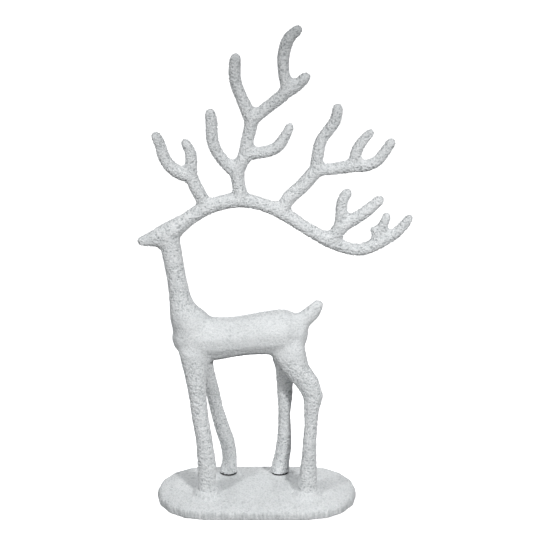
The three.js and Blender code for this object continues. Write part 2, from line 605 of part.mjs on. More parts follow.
// Each branch cable starts on a station of its parent and stops short of the tine's tip.
const onAntler = ([x, z]) => [x, 0, z];
const seamPoint = (d) => [SEAM.x + d * Math.cos(LIFT_ANGLE), 0, SEAM.z + d * Math.sin(LIFT_ANGLE)];
const branchCable = (parent, station, name, skip = 1, drop = 1) => [
  onAntler(ANTLER[parent][station]),
  ...ANTLER[name].slice(skip, ANTLER[name].length - drop).map(onAntler),
];
const antlerLead = [seamPoint(-28), seamPoint(10), onAntler(ANTLER.beam[2])];
const antlerRoutes = [
  ANTLER.beam.slice(2, -1).map(onAntler),
  branchCable('beam', 2, 'brow'),
  branchCable('brow', 2, 'brow_front'),
  branchCable('beam', 4, 'trunk'),
  branchCable('trunk', 1, 'trunk_front'),
  branchCable('trunk', 3, 'trunk_rear'),
  branchCable('trunk', 5, 'crown'),
  branchCable('beam', 6, 'palm', 1, 0),
  branchCable('palm', 4, 'palm_front'),
  branchCable('palm', 4, 'palm_rear'),
  branchCable('beam', 8, 'fork', 1, 0),
  branchCable('fork', 1, 'fork_front'),
  branchCable('fork', 1, 'fork_rear'),
];
piece(antler, 'antler_light_strand', strand(antlerLead, antlerRoutes, 1.2, 3, 80), 'strand');

export default group;
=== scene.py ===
import json
import math
from contextlib import contextmanager

import bmesh
import bpy
import numpy as np
from mathutils import Matrix, Vector, noise


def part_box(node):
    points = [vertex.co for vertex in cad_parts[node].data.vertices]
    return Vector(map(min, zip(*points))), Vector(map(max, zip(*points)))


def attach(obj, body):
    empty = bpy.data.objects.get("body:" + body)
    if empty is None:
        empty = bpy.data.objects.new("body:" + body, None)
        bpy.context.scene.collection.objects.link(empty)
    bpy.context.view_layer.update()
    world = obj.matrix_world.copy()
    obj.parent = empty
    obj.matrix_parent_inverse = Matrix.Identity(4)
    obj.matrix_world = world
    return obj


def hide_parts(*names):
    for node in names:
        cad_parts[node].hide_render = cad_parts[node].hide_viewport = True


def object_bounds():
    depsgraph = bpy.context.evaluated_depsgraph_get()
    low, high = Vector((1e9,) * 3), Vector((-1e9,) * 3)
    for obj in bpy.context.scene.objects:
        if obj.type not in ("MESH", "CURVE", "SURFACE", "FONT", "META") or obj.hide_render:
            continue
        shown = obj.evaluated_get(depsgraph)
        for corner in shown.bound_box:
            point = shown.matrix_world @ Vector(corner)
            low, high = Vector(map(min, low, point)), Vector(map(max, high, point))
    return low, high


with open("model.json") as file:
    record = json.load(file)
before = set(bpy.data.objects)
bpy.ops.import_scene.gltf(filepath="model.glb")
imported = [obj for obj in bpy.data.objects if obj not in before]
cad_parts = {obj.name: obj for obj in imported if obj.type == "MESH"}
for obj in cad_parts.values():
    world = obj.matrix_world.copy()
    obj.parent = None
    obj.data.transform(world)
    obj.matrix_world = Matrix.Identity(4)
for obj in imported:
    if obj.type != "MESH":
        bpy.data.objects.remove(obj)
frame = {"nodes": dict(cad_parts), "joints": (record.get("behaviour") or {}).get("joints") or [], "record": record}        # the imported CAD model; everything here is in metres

CAD_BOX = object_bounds()
scene = bpy.context.scene

# ---------------------------------------------------------------- driving values, in metres

# the coats' form
FORM_VOXEL = 0.0025           # edge of the mesh that the rounded forms are made on
COAT_VOXEL = 0.0016           # edge of the coats' mesh before it is thinned
COAT_TRIANGLES = 192000       # most triangles that one coat keeps
SEAL_GROWTH = 0.00025         # each shell swells by this, so that hairline seams close under the snow
BODY_FILLET = 0.010           # the snow rounds out the body's and legs' crooks to about this radius
ANTLER_FILLET = 0.005
FILLET_CHANGE = 0.03          # the second takes over within this distance past the antler's seam
ABOVE_BODY = 0.58             # the torso and tail stay below this height, and the antler above it
BASE_FILLET = 0.005
FORM_ROUNDS = 4               # of softening, before a form is blown up
DEER_ROUNDS = 30              # while it is blown up, on the deer with its antler
BASE_ROUNDS = 8               # and on the base
LETDOWN_STEPS = 3             # it is let down again in this many steps
LETDOWN_ROUNDS = 3            # of softening after each of them
COAT_ROUNDS = 6               # on the coat's finer mesh
TORSO_ROUNDS = 60             # more on the torso, because its facets are the widest
TORSO_FADE = 0.03             # what holds on the torso only fades out over this height
SHARE_AT_BACK = 0.3           # and this much of it is left at the height of the back

# the snow, whose heights are shares of TUFT_HEIGHT
TUFT_HEIGHT = 0.0029
TUFT_SPACING = 0.0056
RIDGE_HEIGHT = 0.62
RIDGE_SHARPNESS = 2.4
CLUMP_HEIGHT = 0.5
CLUMP_PITCH = 2.1             # the clumps are this much closer together than the ridges
SWIRL = 0.6                   # the ridges curl by up to this share of their spacing
SWIRL_PITCH = 0.7
SWIRL_OFFSET = Vector((9, 0, 0))        # these two keep one noise from repeating another
CLUMP_OFFSET = Vector((0, 31, 0))
CALM = 0.45                   # share of its height that the snow keeps on the torso and the base
STROKE_SPACING = 0.0046       # between the upright fibre strokes on the base's rim
STROKE_PITCH = 1.1            # of the noise, in waves to a spacing
STROKE_DRAW = 0.16            # heights are squeezed to this share, which draws the strokes out
STROKE_HEIGHT = 1.3
STROKE_SHARE = 0.4            # of the strokes' height that the rim takes on
RIM_LOSS = 0.5                # share of their height that the tufts lose there
UP_SLOPE = 2                  # how fast the snow grows as a face turns upwards or outwards
OUT_FROM = 0.4
RIM_FROM = 0.8                # the rim is where normals point up by less than this
RIM_SLOPE = 3
RIM_FOOT = 0.004              # below this height the rim's snow sinks in and gets painted shade, darker towards the floor
# how far the snow's height drops at the rim's foot; the lower height sinks the snow in and paints shade
# on it there
FOOT_SINK_AND_SHADE = 1.4
THIN_BELOW = 0.006            # below this height the base's snow thins out
THINNEST = 0.4
HOOF_CLEAR = 0.018            # the snow is thinnest this far from the middle of a far hoof, where its black gasket stands in for the shadow gap under the hoof
HOOF_FADE = 0.012             # and reaches its full depth this much further out
HOOF_LEAST = 0.15
# radius of each ring of the snow packed round a near hoof, and its height above the gasket's underside
COLLAR = ((0.033, -0.003), (0.031, 0.001), (0.028, 0.0045), (0.0245, 0.0075), (0.018, 0.0085))
COLLAR_SIDES = 40

# cuts, bores and room
WELD = 1e-6                   # points nearer than this are one
CUT_SNAP = 1e-7               # points nearer than this to a cut lie on it
SMALLEST = 1e-9               # keeps a division from being by zero
SEAM_GAP = 0.0003             # between head and antler
SEAM_REACH = 0.05             # nothing but head and antler root lies this near the seam
SLICE_HALF = 0.49             # share of the gap that a face between its two cuts stays within
FIT = 0.0002                  # room round a piece that sits in a coat's bore
BORE_SIDES = 72
RECESS_DEPTH = 0.003          # of the antler's end face round its spigot
END_SLICE = 0.0002            # a bar's end is what lies this near its furthest point
GASKET_SINK = 0.006           # the cover's holes are closed this far below the gaskets
BUTTON_ROOM = 0.003           # the button's hole is closed behind the rim, this far round the button
BUTTON_SHOULDER = 0.004       # from the button's inner end to the back of the rim

# the studio
CAMERA_PLACE = (0, -3.45, 1.90)
CAMERA_AIM = (0, 0, 0.6)
SENSOR_MM = 36
LENS_MM = 100.8
LAMP_AIM = 0.28               # the lamps point at this share of the object's height
LAMP_DISTANCE = 4.2
LAMP_RADIUS = 0.28
LAMP_CONE = 30                # degrees across; the light fades all the way to its edge
# name, degrees round from the front, degrees up, watts
LAMPS = (("right_lamp", 27, 34, 450), ("left_lamp", -45, 34, 225), ("back_lamp", 180, 10, 300))
GROUND_TONE = (0.045, 0.046, 0.047)
SKY_TONE = (0.29, 0.296, 0.302)
SKY_FULL = 0.6                # place on the ramp where the sky has its full tone
SKY_LIFT = 0.25               # the ground's tone begins this far below the horizon
SHEET = ((28, 0), (32, 1), (35, 4), (36, 9), (36, 40))     # the floor's radius and height, outwards
SHEET_SIDES = 64

# materials
NOISE_LOW, NOISE_HIGH = 0.3, 0.7        # soft noise mostly stays between these

LEG_NAMES = ("front_left", "front_right", "rear_left", "rear_right")
NEAR_LEGS = ("front_left", "rear_left")          # snow is packed round these two hooves
LEG_NODES = [f"{name}_leg" for name in LEG_NAMES]
GASKETS = [f"{name}_gasket" for name in LEG_NAMES]
SHELL_NODES = ["body_left_shell", "body_right_shell"]
BRANCH_NODES = ["antler_beam", "brow_branch", "tall_branch", "crown_branch", "palm_branch"]

HOOF_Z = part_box("front_left_leg")[0].z
OPENINGS = {o["name"]: o["box_m"] for o in frame["record"]["physics"]["openings"]}
BELLY_Z = OPENINGS["between_front_and_rear_legs"][1][2]
BACK_Z = OPENINGS["above_the_back"][0][2]
LIFT = Vector(next(j["axis"] for j in frame["joints"] if j["name"] == "antler_lift")).normalized()


def points_of(mesh):
    co = np.empty(len(mesh.vertices) * 3, np.float32)
    mesh.vertices.foreach_get("co", co)
    return co.reshape(-1, 3).astype(float)


def put_points(mesh, co):
    mesh.vertices.foreach_set("co", co.astype(np.float32).ravel())
    mesh.update()


def along_lift(node):
    """How far along the lift axis each point of a CAD node lies."""
    return points_of(frame["nodes"][node].data) @ np.array(LIFT)


def end_of_bar(node):
    """The middle and radius of the top end of a round CAD node that lies along the lift axis."""
    co, along = points_of(frame["nodes"][node].data), along_lift(node)
    end = co[along > along.max() - END_SLICE]
    middle = (end.max(axis=0) + end.min(axis=0)) / 2
    return Vector(middle), float(np.linalg.norm(end - middle, axis=1).max())


SOCKET_MOUTH, SOCKET_RADIUS = end_of_bar("antler_socket")
SPIGOT_RADIUS = end_of_bar("antler_spigot")[1]
SEAM_ALONG = along_lift("antler_beam").min() - SEAM_GAP / 2
SEAM = SOCKET_MOUTH + LIFT * float(SEAM_ALONG - SOCKET_MOUTH.dot(LIFT))
BORE_DEPTH = SEAM.dot(LIFT) - float(along_lift("light_jack").min())


# ---------------------------------------------------------------- mesh helpers

def add_object(name, mesh):
    obj = bpy.data.objects.new(name, mesh)
    scene.collection.objects.link(obj)
    return obj


def object_from(name, bm):
    mesh = bpy.data.meshes.new(name)
    bm.to_mesh(mesh)
    bm.free()
    return add_object(name, mesh)


@contextmanager
def edited(obj):
    """The object's mesh, open for changes that are written back at the end."""
    bm = bmesh.new()
    bm.from_mesh(obj.data)
    yield bm
    bm.to_mesh(obj.data)
    bm.free()


def pour(part, bm):
    """Adds all of one bmesh to another, and frees the first."""
    mesh = bpy.data.meshes.new("part")
    part.to_mesh(mesh)
    part.free()
    bm.from_mesh(mesh)
    bpy.data.meshes.remove(mesh)


def append_node(bm, node):
    """Adds a slightly swollen copy of a CAD node, so that it overlaps what it touches."""
    part = bmesh.new()
    part.from_mesh(frame["nodes"][node].data)
    bmesh.ops.remove_doubles(part, verts=part.verts, dist=WELD)
    part.normal_update()
    moves = [v.normal * (SEAL_GROWTH * v.calc_shell_factor()) for v in part.verts]
    for vert, move in zip(part.verts, moves):
        vert.co += move
    pour(part, bm)


def append_hull(bm, node, offset=(0, 0, 0)):
    """Adds the convex hull of a CAD node, which closes the holes through it."""
    hull = bmesh.new()
    hull.from_mesh(frame["nodes"][node].data)
    made = bmesh.ops.convex_hull(hull, input=hull.verts)
    loose = [g for g in made["geom_interior"] + made["geom_unused"] if isinstance(g, bmesh.types.BMVert)]
    bmesh.ops.delete(hull, geom=loose, context="VERTS")
    hull_faces = set(g for g in made["geom"] if isinstance(g, bmesh.types.BMFace))
    bmesh.ops.delete(hull, geom=[f for f in hull.faces if f not in hull_faces], context="FACES_ONLY")
    bmesh.ops.translate(hull, verts=hull.verts, vec=offset)
    pour(hull, bm)


def append_box(bm, low, high):
    low, high = Vector(low), Vector(high)
    size = Matrix.Diagonal((*(high - low), 1))
    bmesh.ops.create_cube(bm, size=1, matrix=Matrix.Translation((low + high) / 2) @ size)


def replace_mesh(obj, mesh):
    old = obj.data
    obj.data = mesh
    bpy.data.meshes.remove(old)


def apply_modifiers(obj):
    graph = bpy.context.evaluated_depsgraph_get()
    mesh = bpy.data.meshes.new_from_object(obj.evaluated_get(graph))
    obj.modifiers.clear()
    replace_mesh(obj, mesh)


def remesh(obj, size):
    modifier = obj.modifiers.new("remesh", "REMESH")
    modifier.mode = "VOXEL"
    modifier.voxel_size = size
    apply_modifiers(obj)


def edges_of(mesh):
    edges = np.empty(len(mesh.edges) * 2, np.int32)
    mesh.edges.foreach_get("vertices", edges)
    return edges.reshape(-1, 2)


def islands_of(mesh):
    """The number of the island that each vertex belongs to, and how many islands there are."""
    edges = edges_of(mesh)
    label = np.arange(len(mesh.vertices))
    while True:
        low = np.minimum(label[edges[:, 0]], label[edges[:, 1]])
        new = label.copy()
        np.minimum.at(new, edges[:, 0], low)
        np.minimum.at(new, edges[:, 1], low)
        new = new[new]
        if np.array_equal(new, label):
            break
        label = new
    roots, island = np.unique(label, return_inverse=True)
    return island, len(roots)


def keep_vertices(obj, keep):
    with edited(obj) as bm:
        bm.verts.ensure_lookup_table()
        bmesh.ops.delete(bm, geom=[bm.verts[i] for i in np.nonzero(~keep)[0]], context="VERTS")


def keep_outer_island(obj):
    """Drops everything but the island with the largest box, such as a hollow shell's inner walls."""
    co = points_of(obj.data)
    island, count = islands_of(obj.data)
    spans = [np.ptp(co[island == i], axis=0).prod() for i in range(count)]
    if count > 1:
        keep_vertices(obj, island == int(np.argmax(spans)))


def averaged(co, edges, degree, rounds):
    """The points after that many rounds of moving each one halfway to the mean of its neighbours."""
    for _ in range(rounds):
        total = np.empty_like(co)
        for k in range(3):
            total[:, k] = (np.bincount(edges[:, 0], co[edges[:, 1], k], len(co))
                           + np.bincount(edges[:, 1], co[edges[:, 0], k], len(co)))
        co = (co + total / degree) / 2
    return co


def soften(obj, rounds, share_at=None):
    """Smooths facets away. The broad part of what that takes off is put back, so limbs keep their girth.

    share_at gives how much of it each point takes."""
    mesh = obj.data
    co, edges = points_of(mesh), edges_of(mesh)
    degree = np.maximum(np.bincount(edges.ravel(), minlength=len(co)), 1)[:, None]
    soft = averaged(co, edges, degree, rounds)
    soft += averaged(co - soft, edges, degree, rounds)
    if share_at is not None:
        soft = co + (soft - co) * share_at(co)[:, None]
    put_points(mesh, soft)


def normals_of(mesh):
    normal = np.empty(len(mesh.vertices) * 3, np.float32)
    mesh.vertex_normals.foreach_get("vector", normal)
    return normal.reshape(-1, 3)


def inflate(obj, distance_at):
    """Moves each point along its normal by the distance that its place gives."""
    mesh = obj.data
    co = points_of(mesh)
    co += normals_of(mesh) * distance_at(co)[:, None]
    put_points(mesh, co)


def thin_out(obj, triangles):
    """Collapses the mesh to at most that many triangles."""
    now = sum(len(p.vertices) - 2 for p in obj.data.polygons)
    if now > triangles:
        modifier = obj.modifiers.new("thin", "DECIMATE")
        modifier.ratio = triangles / now
        apply_modifiers(obj)


# ---------------------------------------------------------------- the snow coats

def rings_of(bm, centre, profile, sides):
    """New points in level rings round the centre, one ring for each (radius, height) of the profile."""
    angles = [2 * math.pi * i / sides for i in range(sides)]
    return [[bm.verts.new(centre + Vector((radius * math.cos(a), radius * math.sin(a), height)))
             for a in angles] for radius, height in profile]


def append_dome(bm, centre, profile, sides):
    """Adds a closed round mound on rings that run from the outside in."""
    rings = rings_of(bm, centre, profile, sides)
    for low, high in zip(rings, rings[1:]):
        for i in range(sides):
            j = (i + 1) % sides
            bm.faces.new((low[i], low[j], high[j], high[i]))
    bm.faces.new(rings[-1])
    bm.faces.new(reversed(rings[0]))


def middle_of(node):
    low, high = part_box(node)
    return (low + high) / 2


def figure_fillet(co):
    """The body's fillet, and past the seam the antler's."""
    share = np.clip((co - np.array(SEAM)) @ np.array(LIFT) / FILLET_CHANGE, 0, 1)
    share[co[:, 2] < ABOVE_BODY] = 0
    return BODY_FILLET + (ANTLER_FILLET - BODY_FILLET) * share


def base_fillet(co):
    return np.full(len(co), BASE_FILLET)


def torso_share(co):
    """1 on the torso and 0 elsewhere on the figure, with soft edges."""
    above = np.clip((co[:, 2] - BELLY_Z) / TORSO_FADE, 0, 1)
    return above * np.clip((BACK_Z - co[:, 2]) / TORSO_FADE + SHARE_AT_BACK, 0, 1)


def coat_surface(name, bm, fillet_at, rounds):
    """The outer surface of overlapping solids as one even closed mesh, with its crooks filled.

    The form is blown up by the fillet's radius, fused, smoothed, and let down again."""
    obj = object_from(name, bm)
    remesh(obj, FORM_VOXEL)
    keep_outer_island(obj)
    soften(obj, FORM_ROUNDS)
    inflate(obj, fillet_at)
    remesh(obj, FORM_VOXEL)
    keep_outer_island(obj)
    soften(obj, rounds)
    for _ in range(LETDOWN_STEPS):
        inflate(obj, lambda co: -fillet_at(co) / LETDOWN_STEPS)
        soften(obj, LETDOWN_ROUNDS)
    remesh(obj, COAT_VOXEL)
    keep_outer_island(obj)
    soften(obj, COAT_ROUNDS)
    return obj


def tuft(p):
    """The snow's height at a point: curled ridges with pits between them, and finer clumps on top."""
    q = Vector(p) / TUFT_SPACING
    slow = q * SWIRL_PITCH
    swirl = Vector((noise.noise(slow), noise.noise(slow + SWIRL_OFFSET), 0)) * SWIRL
    ridge = 1 - RIDGE_SHARPNESS * abs(noise.noise(q + swirl))
    clump = noise.noise(q * CLUMP_PITCH + CLUMP_OFFSET)
    return RIDGE_HEIGHT * ridge + CLUMP_HEIGHT * clump


def stroke(p):
    """The height of upright fibre strokes, for the base's rim: noise that is drawn out along Z."""
    x, y, z = p
    return STROKE_HEIGHT * noise.noise(Vector((x, y, z * STROKE_DRAW)) / STROKE_SPACING * STROKE_PITCH)


def heights(shape, co):
    """What tuft() or stroke() gives at each point."""
    return np.fromiter((shape(p) for p in co), float, len(co))


def raise_snow(obj, height_of):
    """Lifts the surface along its normals by the snow's height, and keeps the height for the material,
    which paints shade into the snow's low places.
    """
    mesh = obj.data
    co, normal = points_of(mesh), normals_of(mesh)
    height, depth = height_of(co, normal)
    co += normal * (height * depth)[:, None]
    attribute = mesh.attributes.new("snow_height", "FLOAT", "POINT")
    attribute.data.foreach_set("value", height.astype(np.float32))
    put_points(mesh, co)


def cut_below(obj, z):
    with edited(obj) as bm:
        bmesh.ops.bisect_plane(bm, geom=bm.verts[:] + bm.edges[:] + bm.faces[:], dist=CUT_SNAP,
                               plane_co=(0, 0, z), plane_no=(0, 0, -1), clear_outer=True)


def part_at_seam(obj):
    """Takes a thin slice out between head and antler, so that they are two islands."""
    with edited(obj) as bm:
        for side in (-SEAM_GAP / 2, SEAM_GAP / 2):
            verts = [v for v in bm.verts if (v.co - SEAM).length < SEAM_REACH]
            chosen = set(verts)
            edges = [e for e in bm.edges if e.verts[0] in chosen and e.verts[1] in chosen]
            faces = [f for f in bm.faces if all(v in chosen for v in f.verts)]
            bmesh.ops.bisect_plane(bm, geom=verts + edges + faces, dist=CUT_SNAP,
                                   plane_co=SEAM + LIFT * side, plane_no=LIFT)
        slice_faces = [f for f in bm.faces if (f.verts[0].co - SEAM).length < SEAM_REACH
                       and abs((f.calc_center_median() - SEAM).dot(LIFT)) < SEAM_GAP * SLICE_HALF]
        bmesh.ops.delete(bm, geom=slice_faces, context="FACES")


def close_cuts(obj):
    with edited(obj) as bm:
        bmesh.ops.holes_fill(bm, edges=[e for e in bm.edges if e.is_boundary], sides=0)


def close_with_bore(obj, point, axis, radius, depth):
    """Closes the one open cut with a flat ring, and sinks a round bore from it along axis."""
    place = Matrix.Translation(point) @ Vector((0, 0, 1)).rotation_difference(axis).to_matrix().to_4x4()
    with edited(obj) as bm:
        rim = [e for e in bm.edges if e.is_boundary]
        made = bmesh.ops.create_circle(bm, segments=BORE_SIDES, radius=radius, matrix=place)
        mouth = list(dict.fromkeys(e for v in made["verts"] for e in v.link_edges))
        bmesh.ops.bridge_loops(bm, edges=rim + mouth)
        wall = bmesh.ops.extrude_edge_only(bm, edges=mouth)["geom"]
        floor = [g for g in wall if isinstance(g, bmesh.types.BMVert)]
        bmesh.ops.translate(bm, verts=floor, vec=axis * depth)
        bmesh.ops.contextual_create(bm, geom=[g for g in wall if isinstance(g, bmesh.types.BMEdge)
                                              and all(v in floor for v in g.verts)])
        bmesh.ops.recalc_face_normals(bm, faces=bm.faces)


def figure_snow(co, _normal):
    """Tufts everywhere, calmer on the torso."""
    height = heights(tuft, co)
    calm = 1 - (1 - CALM) * torso_share(co)
    return (height - height.mean()) * calm, np.full(len(co), TUFT_HEIGHT)


def base_snow(co, normal):
    """Tufts on the mound, upright strokes on the rim, little round the far hooves, whose black gaskets
    stand in for the shadow under them, none underneath.
    """
    low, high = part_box("base_cover")
    half_width = (high.y - low.y) / 2
    reach = (high.x - low.x) / 2 - half_width
    outward = co[:, :2].copy()
    outward[:, 0] -= np.clip(co[:, 0], low.x + half_width, high.x - half_width)
    outward /= np.maximum(np.linalg.norm(outward, axis=1), SMALLEST)[:, None]
    facing_up = np.clip(normal[:, 2] * UP_SLOPE, 0, 1)
    facing_out = np.clip((normal[:, :2] * outward).sum(axis=1) * UP_SLOPE - OUT_FROM, 0, 1)
    rim = np.clip((RIM_FROM - normal[:, 2]) * RIM_SLOPE, 0, 1)
    tufts, strokes = heights(tuft, co), heights(stroke, co)
    height = (tufts - tufts.mean()) * (1 - RIM_LOSS * rim) * CALM + strokes * rim * STROKE_SHARE
    # the rim's foot sinks in, and its lower height gives it painted shade along the floor
    height -= FOOT_SINK_AND_SHADE * np.clip(1 - co[:, 2] / RIM_FOOT, 0, 1)
    depth = TUFT_HEIGHT * np.maximum(facing_up, facing_out) * np.clip(co[:, 2] / THIN_BELOW, THINNEST, 1)
    # the far hooves' black gaskets are left bare: a dark part standing in for the shadow in the gap under
    # each hoof
    for leg in LEG_NAMES:
        if leg not in NEAR_LEGS:
            middle = middle_of(f"{leg}_gasket")
            apart = np.hypot(co[:, 0] - middle.x, co[:, 1] - middle.y)
            depth *= np.clip((apart - HOOF_CLEAR) / HOOF_FADE, HOOF_LEAST, 1)
    return height, depth


def make_figure():
    """The deer and its antler, coated as one surface and then parted at the seam."""
    bm = bmesh.new()
    for node in SHELL_NODES + LEG_NODES + BRANCH_NODES:
        append_node(bm, node)
    for node in GASKETS:
        append_hull(bm, node)
    deer = coat_surface("deer_coat", bm, figure_fillet, DEER_ROUNDS)
    soften(deer, TORSO_ROUNDS, torso_share)
    raise_snow(deer, figure_snow)
    cut_below(deer, HOOF_Z)
    close_cuts(deer)
    part_at_seam(deer)
    island, _ = islands_of(deer.data)
    on_antler = island == island[int(points_of(deer.data)[:, 2].argmax())]
    antler = add_object("antler_coat", deer.data.copy())
    keep_vertices(antler, on_antler)
    keep_vertices(deer, ~on_antler)
    thin_out(deer, COAT_TRIANGLES)
    thin_out(antler, COAT_TRIANGLES)
    return deer, antler


def make_deer_coat(deer):
    close_with_bore(deer, SEAM - LIFT * (SEAM_GAP / 2), -LIFT, SOCKET_RADIUS + FIT, BORE_DEPTH)
    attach(deer, "root")
    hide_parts(*SHELL_NODES, *LEG_NODES)


def make_antler_coat(antler):
    close_with_bore(antler, SEAM + LIFT * (SEAM_GAP / 2), LIFT, SPIGOT_RADIUS + FIT, RECESS_DEPTH)
    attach(antler, "antler")
    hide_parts(*BRANCH_NODES)


def make_base_coat():
    """The base's cover under its snow, filled down to the closing plate, with collars round near hooves.

    The filling takes in the battery bay, so it is what an open hatch shows."""
    bm = bmesh.new()
    append_node(bm, "base_cover")
    plate_low, plate_top = (corner.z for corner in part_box("base_plate"))
    append_hull(bm, "base_plate", (0, 0, plate_top - plate_low + FIT))
    for node in GASKETS:
        append_hull(bm, node, (0, 0, -GASKET_SINK))
    low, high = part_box("power_button")
    append_box(bm, (low.x - BUTTON_ROOM, low.y - BUTTON_ROOM, low.z - BUTTON_ROOM),
               (high.x + BUTTON_ROOM, low.y + BUTTON_SHOULDER, high.z + BUTTON_ROOM))
    for leg in NEAR_LEGS:
        foot = middle_of(f"{leg}_gasket")
        foot.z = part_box(f"{leg}_gasket")[0].z
        append_dome(bm, foot, COLLAR, COLLAR_SIDES)
    base = coat_surface("base_coat", bm, base_fillet, BASE_ROUNDS)
    raise_snow(base, base_snow)
    thin_out(base, COAT_TRIANGLES)
    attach(base, "root")
    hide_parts("base_cover")
    return base


# ---------------------------------------------------------------- materials

class Nodes:
    """A material's node tree, built from short calls."""

    def __init__(self, name):
        self.material = bpy.data.materials.new(name)
        self.material.use_nodes = True
        self.tree = self.material.node_tree
        self.shader = self.tree.nodes["Principled BSDF"]
        self.place = self.add("ShaderNodeTexCoord").outputs["Object"]

    def add(self, kind, **settings):
        node = self.tree.nodes.new(kind)
        for key, value in settings.items():
            setattr(node, key, value)
        return node

    def link(self, source, target):
        self.tree.links.new(source, target)

    def stretched(self, scale):
        node = self.add("ShaderNodeMapping")
        node.inputs["Scale"].default_value = scale
        self.link(self.place, node.inputs["Vector"])
        return node.outputs["Vector"]

    def noise(self, size, detail=3.0, place=None):
        """Soft noise whose clumps are about size metres across."""
        node = self.add("ShaderNodeTexNoise")
        node.inputs["Scale"].default_value = 1 / size
        node.inputs["Detail"].default_value = detail
        self.link(place or self.place, node.inputs["Vector"])
        return node.outputs["Fac"]

    def cells(self, size):
        """The distance from the middles of cells that are about size metres across."""
        node = self.add("ShaderNodeTexVoronoi")
        node.inputs["Scale"].default_value = 1 / size
        self.link(self.place, node.inputs["Vector"])
        return node.outputs["Distance"]

    def attribute(self, name):
        return self.add("ShaderNodeAttribute", attribute_name=name).outputs["Fac"]

    def math(self, operation, a, b):
        node = self.add("ShaderNodeMath", operation=operation)
        for socket, value in zip(node.inputs, (a, b)):
            if isinstance(value, bpy.types.NodeSocket):
                self.link(value, socket)
            else:
                socket.default_value = value
        return node.outputs[0]

    def centred(self, value):
        """Noise that swings about 0 instead of 0.5."""
        return self.math("SUBTRACT", value, 0.5)

    def weigh(self, *parts):
        """The sum of the parts, each a value and its weight."""
        total = None
        for value, weight in parts:
            term = self.math("MULTIPLY", value, weight)
            total = term if total is None else self.math("ADD", total, term)
        return total

    def ramp(self, value, *stops):
        """A colour for each place along value; a stop is (place, colour)."""
        node = self.add("ShaderNodeValToRGB")
        elements = node.color_ramp.elements
        while len(elements) < len(stops):
            elements.new(0.5)
        for element, (place, colour) in zip(elements, stops):
            element.position = place
            element.color = (*colour, 1)
        self.link(value, node.inputs["Fac"])
        return node.outputs["Color"]

    def spread(self, value, low, high):
        """Noise spread out over low to high."""
        node = self.add("ShaderNodeMapRange")
        node.inputs["From Min"].default_value = NOISE_LOW
        node.inputs["From Max"].default_value = NOISE_HIGH
        node.inputs["To Min"].default_value = low
        node.inputs["To Max"].default_value = high
        self.link(value, node.inputs["Value"])
        return node.outputs["Result"]

    def bump(self, height, distance, strength=1.0, under=None):
        node = self.add("ShaderNodeBump")
        node.inputs["Distance"].default_value = distance
        node.inputs["Strength"].default_value = strength
        self.link(height, node.inputs["Height"])
        if under is not None:
            self.link(under, node.inputs["Normal"])
        return node.outputs["Normal"]

    def finish(self, colour, roughness, normal, constants=()):
        """Links the maps to the shader and sets its constants on its own sockets."""
        self.link(colour, self.shader.inputs["Base Color"])
        self.link(roughness, self.shader.inputs["Roughness"])
        self.link(normal, self.shader.inputs["Normal"])
        for name, value in dict(constants).items():
            self.shader.inputs[name].default_value = value
        return self.material


def snow_material(name):
    """Matted white fibre snow: painted shade makes it cool grey in its pits and near white on its tufts,
    with a fine grain.
    """
    m = Nodes(name)
    height = m.attribute("snow_height")
    grain, fibres, drift = m.noise(0.0024), m.noise(0.0011, detail=2.0), m.noise(0.09, detail=2.0)
    # the snow's height gives its low places painted shade; the grain and the slow drift are random tone
    pit_shade_grain_and_drift = m.weigh((height, 0.7), (m.centred(grain), 0.95), (m.centred(drift), 0.35))
    level = m.math("ADD", m.math("MULTIPLY", pit_shade_grain_and_drift, 0.6), 0.6)
    colour = m.ramp(level, (0.25, (0.40, 0.42, 0.428)), (0.47, (0.60, 0.622, 0.630)),
                    (0.64, (0.75, 0.77, 0.778)), (0.85, (0.93, 0.938, 0.943)))
    normal = m.bump(grain, 0.0014, 0.9, under=m.bump(fibres, 0.0006, 0.8))
    return m.finish(colour, m.spread(fibres, 0.98, 0.8), normal,
                    {"Sheen Weight": 0.25, "Sheen Roughness": 0.5, "Specular IOR Level": 0.25})


def moulded_material(name, dark, light, grain=0.0007, roughness=(0.5, 0.7), depth=0.00006):
    """A moulded plastic or rubber: a fine spark-eroded grain, handling marks and slow colour drift."""
    m = Nodes(name)
    drift, marks, pits = m.noise(0.03), m.noise(0.006, detail=6.0), m.noise(grain, detail=2.0)
    colour = m.ramp(m.weigh((drift, 0.6), (marks, 0.4)), (NOISE_LOW, dark), (NOISE_HIGH, light))
    return m.finish(colour, m.spread(marks, *roughness), m.bump(pits, depth))


def metal_material(name, dark, light, brushed, roughness=(0.25, 0.45)):
    """Plated metal: brush lines along one axis, and cloudy patches in the plating."""
    m = Nodes(name)
    lines = m.noise(0.0008, detail=4.0, place=m.stretched(brushed))
    clouds = m.noise(0.012, detail=5.0)
    colour = m.ramp(m.weigh((clouds, 0.7), (lines, 0.3)), (NOISE_LOW, dark), (NOISE_HIGH, light))
    return m.finish(colour, m.spread(lines, *roughness), m.bump(lines, 0.00003), {"Metallic": 1.0})


def cell_material(name):
    """A dry cell's printed shrink wrap: a pale band at one end and a fine wrinkle."""
    m = Nodes(name)
    along = m.add("ShaderNodeSeparateXYZ")
    m.link(m.place, along.inputs[0])
    low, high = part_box("battery_1")
    share = m.math("DIVIDE", m.math("SUBTRACT", along.outputs["X"], low.x), high.x - low.x)
    worn = m.math("ADD", share, m.math("MULTIPLY", m.centred(m.noise(0.004)), 0.02))
    colour = m.ramp(worn, (0.0, (0.05, 0.13, 0.27)), (0.68, (0.07, 0.17, 0.34)),
                    (0.70, (0.74, 0.75, 0.76)), (0.95, (0.80, 0.80, 0.80)), (0.98, (0.55, 0.55, 0.54)))
    wrinkle = m.noise(0.003, detail=4.0, place=m.stretched((0.3, 1, 1)))
    return m.finish(colour, m.spread(wrinkle, 0.22, 0.38), m.bump(wrinkle, 0.00008),
                    {"Coat Weight": 0.3})


